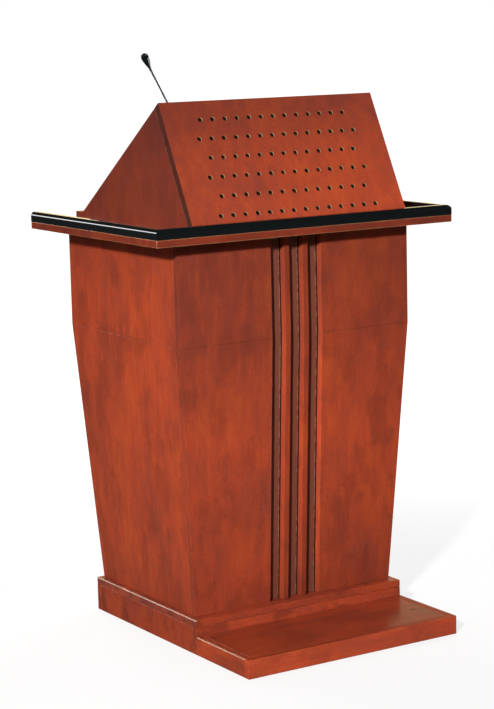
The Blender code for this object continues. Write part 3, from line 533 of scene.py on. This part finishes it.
def finish_cad_nodes():
    """Gives each CAD node its material; every wooden board has a grain of its own."""
    nodes = frame["nodes"]
    outward = (0.0, -math.cos(FRONT_LEAN), math.sin(FRONT_LEAN))
    finishes = {}
    for name, (grain, seed, tone, fade) in WOOD_BOARDS.items():
        lacquer = POLISHED if name in POLISHED_BOARDS else SATIN
        blotched = BLOTCHED if name.startswith("plinth_") else CLOUDED
        finishes[name] = wood(name + "_veneer", grain, seed, tone, fade, board_edges(name),
                              lacquer, blotched)
        # painted light on the flutes' sideways walls
        if name.endswith("_front") or name.startswith("flute_"):
            retone(finishes[name], FLUTE_WALL_PAINTED_LIGHT, (1.0, 0.0, 0.0), FLUTES_REACH)
        if name in STEP_RIM:
            retone(finishes[name], STEP_TOP / tone, (0.0, 0.0, 1.0))
    low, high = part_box("desk_front_panel")
    foot = (0.0, low.y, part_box("table_board")[1].z)
    finishes["desk_front_panel"] = panel_wood(
        "desk_front_veneer", "Z", 5.3, 1.0, PANEL_FADE, outward, foot,
        high.x - PANEL_END, high.z - PANEL_BEVEL)
    right_of_flutes = ("flute_ridge_left", "flute_ridge_right", "lower_right_front")
    corners = [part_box(name)[0].x for name in right_of_flutes]
    finishes["flute_back"] = flute_wood("flute_back_painted_shade", 7.7, 1.0, corners, SHADE_LINE_WIDTH)

    rail = gloss_black("rail_gloss")
    moulding = moulded_black("moulded_plastic")
    metal = painted_metal("powder_coat")
    steel = brushed_metal("hinge_steel", (0.50, 0.50, 0.51), 0.30, "Z")
    nickel = brushed_metal("knob_nickel", (0.66, 0.64, 0.60), 0.20, None)
    cone = paper("cone_paper", (0.022, 0.022, 0.024))
    for name in ("rail_front", "rail_left", "rail_right", "ledge_edging"):
        finishes[name] = rail
    for name in ("cable_grommet", "magnetic_catch", "volume_knob"):
        finishes[name] = moulding
    for name in ("amplifier_case", "mic_flange", "left_speaker_frame", "right_speaker_frame"):
        finishes[name] = metal
    for side in ("left", "right"):
        for part in ("frame_leaf", "door_leaf", "pin"):
            finishes[f"{side}_hinge_{part}"] = steel
        finishes[f"{side}_door_knob"] = nickel
        finishes[f"{side}_speaker_cone"] = cone
    finishes["acoustic_cloth"] = woven_cloth("speaker_cloth", (0.016, 0.016, 0.018))
    finishes["mic_head"] = gloss_black("mic_shell")
    finishes["mic_grille"] = paper("mic_foam", (0.012, 0.012, 0.013))
    finishes["mic_stem"] = finishes["mic_lower_neck"] = metal
    for name, item in nodes.items():
        item.data.materials.clear()
        item.data.materials.append(finishes[name])


# ---------------------------------------------------------------- pieces beyond the frame
LEAF_THICK = 0.0015          # plate of a hinge leaf
SOCKET_RISE = 0.0112         # from the desk to the side bend's pivot, along the neck
HEAD_RISE = 0.132            # from the desk to the head's pivot, along the neck
HEAD_LEAN = math.radians(41.0)         # of the head at rest, from the vertical
READING_LEAN = math.radians(35.3)      # of the reading panel, from the level
CAP_START = 0.0303           # wire cap, measured from the head's pivot
CAP_TOP = 0.0418
CAP_CROWN = 0.008
CAP_RADIUS = 0.0084
PLATE = 0.0002               # how far the amplifier's face stands proud
FACE_X, FACE_Z = 0.144, 0.034          # half width and half height of that face
FACE_SCREW_INSET = 0.007
SOCKETS_X = (-0.052, -0.016, 0.020)    # places across the face
SWITCH_X = -0.112
LAMP_X = -0.088
DIAL_START = 150             # degrees from the top of the dial to its first and last mark
LEAF_SCREWS = 6              # in each plate of a long hinge
LEAF_SCREW_X = 0.0125        # from the pin's axis to the row of screws


def piece_from(bm, name, material, body, angle=35.0):
    """Makes a piece of a bmesh, smooth but for its sharp edges, that rides on a body."""
    bmesh.ops.recalc_face_normals(bm, faces=bm.faces)
    mesh = bpy.data.meshes.new(name)
    bm.to_mesh(mesh)
    bm.free()
    mesh.polygons.foreach_set("use_smooth", [True] * len(mesh.polygons))
    mesh.set_sharp_from_angle(angle=math.radians(angle))
    mesh.materials.append(material)
    piece = bpy.data.objects.new(name, mesh)
    bpy.context.scene.collection.objects.link(piece)
    if body:
        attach(piece, body)
    return piece


def add_loops(bm, loops):
    """Skins closed loops of equal length; a loop of one point is a pole."""
    rings = [[bm.verts.new(point) for point in loop] for loop in loops]
    count = max(len(ring) for ring in rings)
    for first, second in zip(rings, rings[1:]):
        for number in range(count):
            after = (number + 1) % count
            if len(first) == 1:
                bm.faces.new((first[0], second[after], second[number]))
            elif len(second) == 1:
                bm.faces.new((first[number], first[after], second[0]))
            else:
                bm.faces.new((first[number], first[after], second[after], second[number]))
    return rings


def add_turned(bm, profile, place, sides=24):
    """A solid of revolution: profile is (radius, height) pairs about local Z."""
    loops = []
    for radius, height in profile:
        if radius:
            turns = [2 * math.pi * number / sides for number in range(sides)]
            loops.append([place @ Vector((radius * math.cos(turn), radius * math.sin(turn), height))
                          for turn in turns])
        else:
            loops.append([place @ Vector((0.0, 0.0, height))])
    add_loops(bm, loops)


def rounded_outline(half_x, half_y, radius, steps=5):
    points = []
    for quarter, (sx, sy) in enumerate(((1, 1), (-1, 1), (-1, -1), (1, -1))):
        for step in range(steps + 1):
            turn = math.radians(90 * (quarter + step / steps))
            points.append((sx * (half_x - radius) + radius * math.cos(turn),
                           sy * (half_y - radius) + radius * math.sin(turn)))
    return points


def add_plate(bm, place, half_x, half_y, radius, thick, bevel):
    """A plate with round corners and an eased rim, closed at the back; local Z points out."""
    levels = ((0.0, 0.0), (0.0, thick - bevel), (bevel * 0.3, thick - bevel * 0.3), (bevel, thick))
    loops = [[place @ Vector((x, y, height))
              for x, y in rounded_outline(half_x - ease, half_y - ease, radius)]
             for ease, height in levels]
    rings = add_loops(bm, loops)
    bm.faces.new(rings[0])
    bm.faces.new(rings[-1])


def add_screw(bm, place, radius):
    """A raised screw head with a cross recess; local Z points out of the surface."""
    def cross(arm, half, height):
        points = []
        for quarter in range(4):
            turn = Matrix.Rotation(math.radians(90 * quarter), 4, "Z")
            for x, y in ((arm, -half), (arm, half), (half, half)):
                points.append(turn @ Vector((x, y, height)))
        return points

    lip = cross(radius * 0.55, radius * 0.14, radius * 0.26)
    angles = [math.atan2(point.y, point.x) for point in lip]
    spread = []
    for number, angle in enumerate(angles):
        after = angles[(number + 1) % len(angles)]
        step = (after - angle) % (2 * math.pi)
        spread += [angle, angle + step / 2]
    crown = ((radius, 0.0), (radius * 0.95, radius * 0.15), (radius * 0.74, radius * 0.25))
    discs = [[Vector((size * math.cos(a), size * math.sin(a), height)) for a in spread]
             for size, height in crown]
    rings = add_loops(bm, [[place @ point for point in disc] for disc in discs])
    bm.faces.new(rings[0])
    bottom = cross(radius * 0.45, radius * 0.10, radius * 0.02)
    inner, floor = add_loops(bm, [[place @ point for point in loop] for loop in (lip, bottom)])
    bm.faces.new(floor)
    outer, count = rings[-1], len(inner)
    for number in range(count):
        first, middle, last = (outer[(2 * number + step) % (2 * count)] for step in range(3))
        after = inner[(number + 1) % count]
        bm.faces.new((first, middle, inner[number]))
        bm.faces.new((middle, last, after, inner[number]))


def joint_at(name):
    joints = frame["record"]["behaviour"]["joints"]
    return Vector(next(joint["pos_m"] for joint in joints if joint["name"] == name))


def neck_line():
    """(foot on the desk, direction) of the microphone's neck."""
    low, high = joint_at("mic_side_bend"), joint_at("mic_tilt")
    direction = (high - low).normalized()
    return low - SOCKET_RISE * direction, direction


def make_hinge_screws(material):
    """Six screws in each plate of the long hinges; those of a door leaf ride on its door."""
    for side, sign in (("left", -1), ("right", 1)):
        pin = joint_at(f"{side}_door_hinge")
        for leaf, outward, body in (("frame", sign, "podium"), ("door", -sign, f"{side}_door")):
            low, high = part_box(f"{side}_hinge_{leaf}_leaf")
            bm = bmesh.new()
            for number in range(LEAF_SCREWS):
                height = low.z + (high.z - low.z) * (number + 0.4) / 5.8
                spot = Vector((pin.x + outward * LEAF_SCREW_X, low.y + LEAF_THICK, height))
                turn = Matrix.Rotation(math.radians(23 * number + 11), 4, "Z")
                add_screw(bm, Matrix.Translation(spot) @ FACING_SPEAKER @ turn, 0.0029)
            piece_from(bm, f"{side}_hinge_{leaf}_screws", material, body)


def ribs(start, end, pitch, core, rise):
    """Profile of rounded ribs along a tube."""
    count = round((end - start) / pitch)
    step = (end - start) / count
    points = []
    for number in range(count):
        foot = start + number * step
        points += [(core, foot), (core + rise, foot + 0.3 * step), (core + rise, foot + 0.65 * step),
                   (core, foot + 0.92 * step)]
    return points


def make_gooseneck(rubber, metal):
    """A ribbed neck from the desk to the head, in place of the two rigid solids of the frame."""
    foot, direction = neck_line()
    lean = math.atan2(direction.y, direction.z)
    place = Matrix.Translation(foot) @ Matrix.Rotation(-lean, 4, "X")

    def reach(distance):
        return foot + distance * direction

    bm = bmesh.new()
    boot = [(0.0, 0.0072), (0.0043, 0.0074)] + ribs(0.0088, 0.0128, 0.0010, 0.0036, 0.0004)
    add_turned(bm, boot + [(0.0034, 0.0130), (0.0029, 0.0160), (0.0026, 0.0172), (0.0, 0.0172)], place)
    socket = piece_from(bm, "gooseneck_boot", rubber, None, 60.0)
    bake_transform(socket)

    bm = bmesh.new()
    tube = [(0.0, 0.0160), (0.0020, 0.0160)] + ribs(0.0165, 0.0560, 0.0011, 0.0018, 0.0004)
    tube += [(0.0021, 0.0562), (0.0023, 0.0566), (0.0023, 0.0585), (0.0019, 0.0590), (0.0019, 0.1000),
             (0.0023, 0.1005), (0.0023, 0.1024), (0.0021, 0.1028)]
    tube += ribs(0.1030, 0.1286, 0.0011, 0.0018, 0.0004) + [(0.0018, 0.1288), (0.0, 0.1288)]
    add_turned(bm, tube, place, 16)
    neck = piece_from(bm, "gooseneck_tube", metal, None, 60.0)
    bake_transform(neck)
    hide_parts("mic_lower_neck", "mic_stem")

    bm = bmesh.new()
    tip = [(0.0, 0.1255), (0.0025, 0.1257)] + ribs(0.1262, 0.1334, 0.0012, 0.0025, 0.0003)
    add_turned(bm, tip + [(0.0027, 0.1340), (0.0, 0.1340)], place)
    cuff = piece_from(bm, "gooseneck_cuff", rubber, None, 60.0)
    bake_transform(cuff)


def make_microphone_cap(wire, foam):
    """A dome of woven wire over foam, in place of the frame's solid cap."""
    foot, direction = neck_line()
    place = Matrix.Translation(foot + HEAD_RISE * direction) @ Matrix.Rotation(-HEAD_LEAN, 4, "X")

    def dome(shrink, rows):
        radius, top = CAP_RADIUS - shrink, CAP_TOP - shrink
        points = [(radius, CAP_START + (top - CAP_CROWN - CAP_START) * row / 4) for row in range(4)]
        for row in range(rows + 1):
            turn = math.pi / 2 * (1 - row / rows)
            points.append((radius * math.sin(turn), top - CAP_CROWN * (1 - math.cos(turn))))
        points[-1] = (0.0, top)
        return points

    bm = bmesh.new()
    add_turned(bm, dome(0.0, 9), place, 34)
    cap = piece_from(bm, "microphone_wire_cap", wire, "mic_head", 180.0)
    frame_of_wires = cap.modifiers.new("wires", "WIREFRAME")
    frame_of_wires.thickness = 0.00034
    frame_of_wires.offset = 0.0
    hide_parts("mic_grille")
    bm = bmesh.new()
    add_turned(bm, [(0.0, CAP_START)] + dome(0.0007, 6), place, 24)
    piece_from(bm, "microphone_foam", foam, "mic_head", 180.0)


def make_flange_screws(material):
    foot, _ = neck_line()
    place = Matrix.Translation(foot) @ Matrix.Rotation(-READING_LEAN, 4, "X")
    bm = bmesh.new()
    for turn in (90, 210, 330):
        arm = Matrix.Rotation(math.radians(turn), 4, "Z") @ Vector((0.0108, 0.0, 0.0043))
        add_screw(bm, place @ Matrix.Translation(arm), 0.0019)
    piece_from(bm, "microphone_flange_screws", material, "podium")


def add_louvre(bm, place, length, width, height):
    """A pressed vent along local X whose ends run out smoothly."""
    loops = []
    for share, scale in ((0.0, 0.15), (0.03, 0.7), (0.08, 1.0), (0.92, 1.0), (0.97, 0.7), (1.0, 0.15)):
        x = (share - 0.5) * length
        arc = [Vector((x, -width / 2 * scale * math.cos(t), height * scale * math.sin(t)))
               for t in (math.pi * step / 8 for step in range(9))]
        loops.append([place @ point for point in arc])
    rings = add_loops(bm, loops)
    bm.faces.new(rings[0])
    bm.faces.new(rings[-1])


def make_amplifier_face(metal, nickel, plastic, face_finish, paint, steel):
    """A control face, sockets, switch, lamp, dial marks and vents on the amplifier's case."""
    low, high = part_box("amplifier_case")
    middle = Vector(((low.x + high.x) / 2, high.y, (low.z + high.z) / 2))

    def on_face(x, z=0.0, proud=0.0):
        return Matrix.Translation(middle + Vector((x, proud, z))) @ FACING_SPEAKER

    bm = bmesh.new()
    add_plate(bm, on_face(0.0), FACE_X, FACE_Z, 0.004, PLATE, PLATE / 2)
    piece_from(bm, "amplifier_face", face_finish, "podium")

    rings, bores, corners = bmesh.new(), bmesh.new(), bmesh.new()
    ring = [(0.0078, 0.0), (0.0078, 0.0016), (0.0072, 0.0022), (0.0056, 0.0022),
            (0.0052, 0.0016), (0.0044, 0.0014), (0.0040, 0.0010), (0.0040, 0.0)]
    bore = [(0.0, 0.0003), (0.0022, 0.0003), (0.0026, 0.0009), (0.0038, 0.0010), (0.0039, 0.0)]
    for x in SOCKETS_X:
        add_turned(rings, ring, on_face(x, 0.0, PLATE), 32)
        add_turned(bores, bore, on_face(x, 0.0, PLATE), 24)
    screw_x, screw_z = FACE_X - FACE_SCREW_INSET, FACE_Z - FACE_SCREW_INSET
    for x in (-screw_x, screw_x):
        for z in (-screw_z, screw_z):
            add_screw(corners, on_face(x, z, PLATE), 0.0027)
    piece_from(rings, "socket_rings", nickel, "podium")
    piece_from(bores, "socket_bores", plastic, "podium")
    piece_from(corners, "amplifier_face_screws", steel, "podium")

    bm = bmesh.new()
    add_plate(bm, on_face(SWITCH_X, 0.0, PLATE), 0.0075, 0.0110, 0.0015, 0.0018, 0.0007)
    rocker = on_face(SWITCH_X, 0.0, PLATE + 0.0012) @ Matrix.Rotation(math.radians(8), 4, "X")
    add_plate(bm, rocker, 0.0052, 0.0086, 0.0008, 0.0016, 0.0006)
    piece_from(bm, "power_switch", plastic, "podium")
    bm = bmesh.new()
    lamp = [(0.0024, 0.0), (0.0023, 0.0007), (0.0016, 0.0009), (0.0015, 0.0014), (0.0009, 0.0019),
            (0.0, 0.0021)]
    add_turned(bm, lamp, on_face(LAMP_X, 0.0, PLATE), 20)
    green = glowing("lamp_glow", (0.10, 0.72, 0.16), 0.9)
    piece_from(bm, "power_lamp", green, "podium")

    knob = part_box("volume_knob")
    centre = (knob[0].x + knob[1].x) / 2
    bm = bmesh.new()
    for number in range(11):
        turn = Matrix.Rotation(math.radians(30 * number - DIAL_START), 4, "Z")
        half = 0.0021 if number % 5 == 0 else 0.0013
        mark = on_face(centre, 0.0, PLATE) @ turn @ Matrix.Translation((0.0, -0.0205, 0.0))
        add_plate(bm, mark, 0.00045, half, 0.0003, 0.00008, 0.00003)
    piece_from(bm, "dial_marks", paint, "podium")

    bm = bmesh.new()
    for column in (-0.075, 0.075):
        for row in range(9):
            spot = Vector((column, low.y + 0.045 + row * 0.0165, high.z))
            add_louvre(bm, Matrix.Translation(spot), 0.105, 0.0052, 0.0017)
    piece_from(bm, "amplifier_vents", metal, "podium")


def make_knob_pointer(paint):
    """A painted line on the volume knob, at the speaker's lower left where the knob is off."""
    low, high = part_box("volume_knob")
    middle = Vector(((low.x + high.x) / 2, high.y, (low.z + high.z) / 2))
    start = Matrix.Rotation(math.radians(DIAL_START), 4, "Z")
    to_rim = Matrix.Translation((0.0, -0.0095, 0.0))
    place = Matrix.Translation(middle) @ FACING_SPEAKER @ start @ to_rim
    bm = bmesh.new()
    add_plate(bm, place, 0.0006, 0.0035, 0.0004, 0.00012, 0.00005)
    piece_from(bm, "volume_pointer", paint, "volume_knob")


def make_strike_plates(material):
    """A thin steel plate on each door's inner face, opposite the magnetic catch."""
    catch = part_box("magnetic_catch")
    for side, sign in (("left", -1), ("right", 1)):
        inner_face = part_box(f"{side}_door")[0].y
        spot = Vector((sign * 0.0215, inner_face, (catch[0].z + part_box(f"{side}_door")[1].z) / 2))
        place = Matrix.Translation(spot) @ Matrix.Rotation(math.pi / 2, 4, "X")
        bm = bmesh.new()
        add_plate(bm, place, 0.0165, 0.0055, 0.0015, 0.00018, 0.00008)
        piece_from(bm, f"{side}_strike_plate", material, f"{side}_door")


def make_fittings():
    steel = brushed_metal("screw_steel", (0.52, 0.52, 0.53), 0.28, None)
    nickel = brushed_metal("socket_nickel", (0.66, 0.65, 0.62), 0.22, None)
    rubber = moulded_black("neck_rubber", (0.012, 0.012, 0.013), 0.40)
    plastic = moulded_black("control_plastic", (0.014, 0.014, 0.015), 0.36)
    neck_metal = painted_metal("neck_finish", (0.006, 0.009, 0.010), 0.42)
    case_metal = painted_metal("vent_finish")
    face_finish = brushed_metal("face_aluminium", (0.10, 0.10, 0.105), 0.36, "X")
    wire = painted_metal("wire_finish", (0.020, 0.020, 0.022), 0.30, 0.6)
    foam = paper("cap_foam", (0.008, 0.008, 0.009))
    paint = moulded_black("mark_paint", (0.62, 0.62, 0.60), 0.50)
    make_hinge_screws(steel)
    make_gooseneck(rubber, neck_metal)
    make_microphone_cap(wire, foam)
    make_flange_screws(steel)
    make_amplifier_face(case_metal, nickel, plastic, face_finish, paint, steel)
    make_knob_pointer(paint)
    make_strike_plates(steel)


# ---------------------------------------------------------------- surroundings
ROOM_LIGHT = 0.17           # seen by matt surfaces
DARK_ROOM = 0.03            # seen in gloss
LEFT_BACKDROP = 6.5
RIGHT_BACKDROP = 2.4
FRONT_PANEL = 14.0          # lit reflector at the front right
WARM = (1.0, 0.80, 0.46)

LAMPS = (
    # name, azimuth, elevation, distance, size, power, height of its aim, spread, shines
    ("key", -46.0, 21.0, 5.0, 0.26, 33.0, 0.55, 60.0, True),
    ("fill", 25.0, 30.0, 4.2, 2.4, 3.0, 0.6, 180.0, False),
    ("rear", 180.0, 35.0, 4.2, 2.4, 80.0, 0.6, 180.0, False),
    ("side", 112.0, 30.0, 4.2, 2.4, 38.0, 0.6, 180.0, False),
    ("rim", 140.0, 45.0, 3.0, 0.5, 10.0, 0.9, 180.0, True),
)

LENS = 105.2                # mm
CAMERA_PLACE = (-2.494, -3.916, 1.377)
PAN, PITCH_DOWN, ROLL = -32.13, 9.26, -1.4155      # degrees


def make_floor():
    """A pale floor that glows for the camera only, up to white far out, and not under the plinth."""
    bm = bmesh.new()
    bmesh.ops.create_grid(bm, x_segments=1, y_segments=1, size=40.0)
    mesh = bpy.data.meshes.new("floor")
    bm.to_mesh(mesh)
    bm.free()
    floor = bpy.data.objects.new("floor", mesh)
    bpy.context.scene.collection.objects.link(floor)
    floor.location = (0.0, 0.0, -0.0005)
    material, tree, shader = new_material("pale_floor")
    cloud = noise(tree, place_texture(tree), 1.4, 4.0)
    link(tree, mix(tree, cloud, (0.25, 0.25, 0.248), (0.28, 0.28, 0.278)), shader.inputs["Base Color"])
    shader.inputs["Roughness"].default_value = 0.9
    shader.inputs["Specular IOR Level"].default_value = 0.0
    shader.inputs["Emission Color"].default_value = (1.0, 1.0, 1.0, 1.0)
    path = tree.nodes.new("ShaderNodeLightPath")
    where = tree.nodes.new("ShaderNodeVectorMath")
    where.operation = "LENGTH"
    link(tree, place_texture(tree), where.inputs[0])
    glow = remap(tree, where.outputs["Value"], 0.7, 2.6, 0.74, 1.05)
    glow = compute(tree, "MULTIPLY", path.outputs["Is Camera Ray"], glow)
    low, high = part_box("plinth_deck")
    apart = tree.nodes.new("ShaderNodeSeparateXYZ")
    link(tree, place_texture(tree, offset=(0.0, -(low.y + high.y) / 2, 0.0)), apart.inputs[0])
    within = [
        compute(tree, "LESS_THAN", compute(tree, "ABSOLUTE", apart.outputs[axis]), half - 0.01)
        for axis, half in (("X", (high.x - low.x) / 2), ("Y", (high.y - low.y) / 2))]
    covered = compute(tree, "MULTIPLY", *within)
    glow = compute(tree, "MULTIPLY", glow, compute(tree, "SUBTRACT", 1.0, covered))
    link(tree, glow, shader.inputs["Emission Strength"])
    mesh.materials.append(material)


def pick(tree, share, first, second):
    item = tree.nodes.new("ShaderNodeMix")
    plug(tree, item.inputs["Factor"], share)
    plug(tree, item.inputs["A"], first)
    plug(tree, item.inputs["B"], second)
    return item.outputs["Result"]


def make_world():
    """White to the camera; gloss reflects a dark room with a lit backdrop low behind the lectern."""
    world = bpy.data.worlds.new("studio")
    bpy.context.scene.world = world
    world.use_nodes = True
    tree = world.node_tree
    background = tree.nodes["Background"]
    where = tree.nodes.new("ShaderNodeTexCoord")
    direction = tree.nodes.new("ShaderNodeSeparateXYZ")
    link(tree, where.outputs["Generated"], direction.inputs[0])
    behind = remap(tree, direction.outputs["Y"], 0.30, 0.70)
    low = remap(tree, direction.outputs["Z"], 0.27, 0.22)
    left = remap(tree, direction.outputs["X"], 0.05, -0.25)
    raised = remap(tree, direction.outputs["Z"], 0.06, 0.12)
    lit = compute(tree, "MULTIPLY", compute(tree, "MULTIPLY", behind, raised), low)
    band = compute(tree, "MULTIPLY", lit, pick(tree, left, RIGHT_BACKDROP, LEFT_BACKDROP))
    ahead = remap(tree, direction.outputs["Y"], -0.20, -0.35)
    aside = remap(tree, direction.outputs["X"], 0.62, 0.72)
    panel = compute(tree, "MULTIPLY", ahead, aside)
    band = compute(tree, "ADD", band, compute(tree, "MULTIPLY", panel, FRONT_PANEL))
    path = tree.nodes.new("ShaderNodeLightPath")
    gloss = path.outputs["Is Glossy Ray"]
    strength = pick(tree, gloss, ROOM_LIGHT, compute(tree, "ADD", band, DARK_ROOM))
    strength = pick(tree, path.outputs["Is Camera Ray"], strength, 1.0)
    link(tree, strength, background.inputs["Strength"])
    right = compute(tree, "MULTIPLY", compute(tree, "SUBTRACT", 1.0, left), behind)
    warmth = compute(tree, "MULTIPLY", gloss, right)
    link(tree, mix(tree, warmth, (1.0, 1.0, 1.0), WARM), background.inputs["Color"])


def make_softbox(name, azimuth, elevation, distance, size, power, height, spread, shines):
    """A square lamp that looks at the lectern's axis; azimuth 0 is in front of it, 90 at +X.

    Only a lamp that shines shows in gloss.
    """
    aim = Vector((0.0, 0.0, height))
    a, e = math.radians(azimuth), math.radians(elevation)
    away = Vector((math.sin(a) * math.cos(e), -math.cos(a) * math.cos(e), math.sin(e)))
    lamp = bpy.data.lights.new(name, "AREA")
    lamp.shape = "SQUARE"
    lamp.size = size
    lamp.energy = power
    lamp.spread = math.radians(spread)
    box = bpy.data.objects.new(name, lamp)
    bpy.context.scene.collection.objects.link(box)
    box.location = aim + away * distance
    box.rotation_euler = away.to_track_quat("Z", "Y").to_euler()
    box.visible_glossy = shines


def make_camera():
    camera = bpy.data.cameras.new("camera")
    camera.lens = LENS
    camera.clip_start = 0.1
    camera.clip_end = 100.0
    item = bpy.data.objects.new("camera", camera)
    bpy.context.scene.collection.objects.link(item)
    place = Matrix.Translation(CAMERA_PLACE)
    pan = Matrix.Rotation(math.radians(PAN), 4, "Z")
    tilt = Matrix.Rotation(math.radians(90.0 - PITCH_DOWN), 4, "X")
    roll = Matrix.Rotation(math.radians(ROLL), 4, "Z")
    item.matrix_world = place @ pan @ tilt @ roll
    bpy.context.scene.camera = item


finish_cad_nodes()
make_fittings()
make_floor()
make_world()
for settings in LAMPS:
    make_softbox(*settings)
make_camera()
bpy.context.scene.view_settings.view_transform = "Standard"
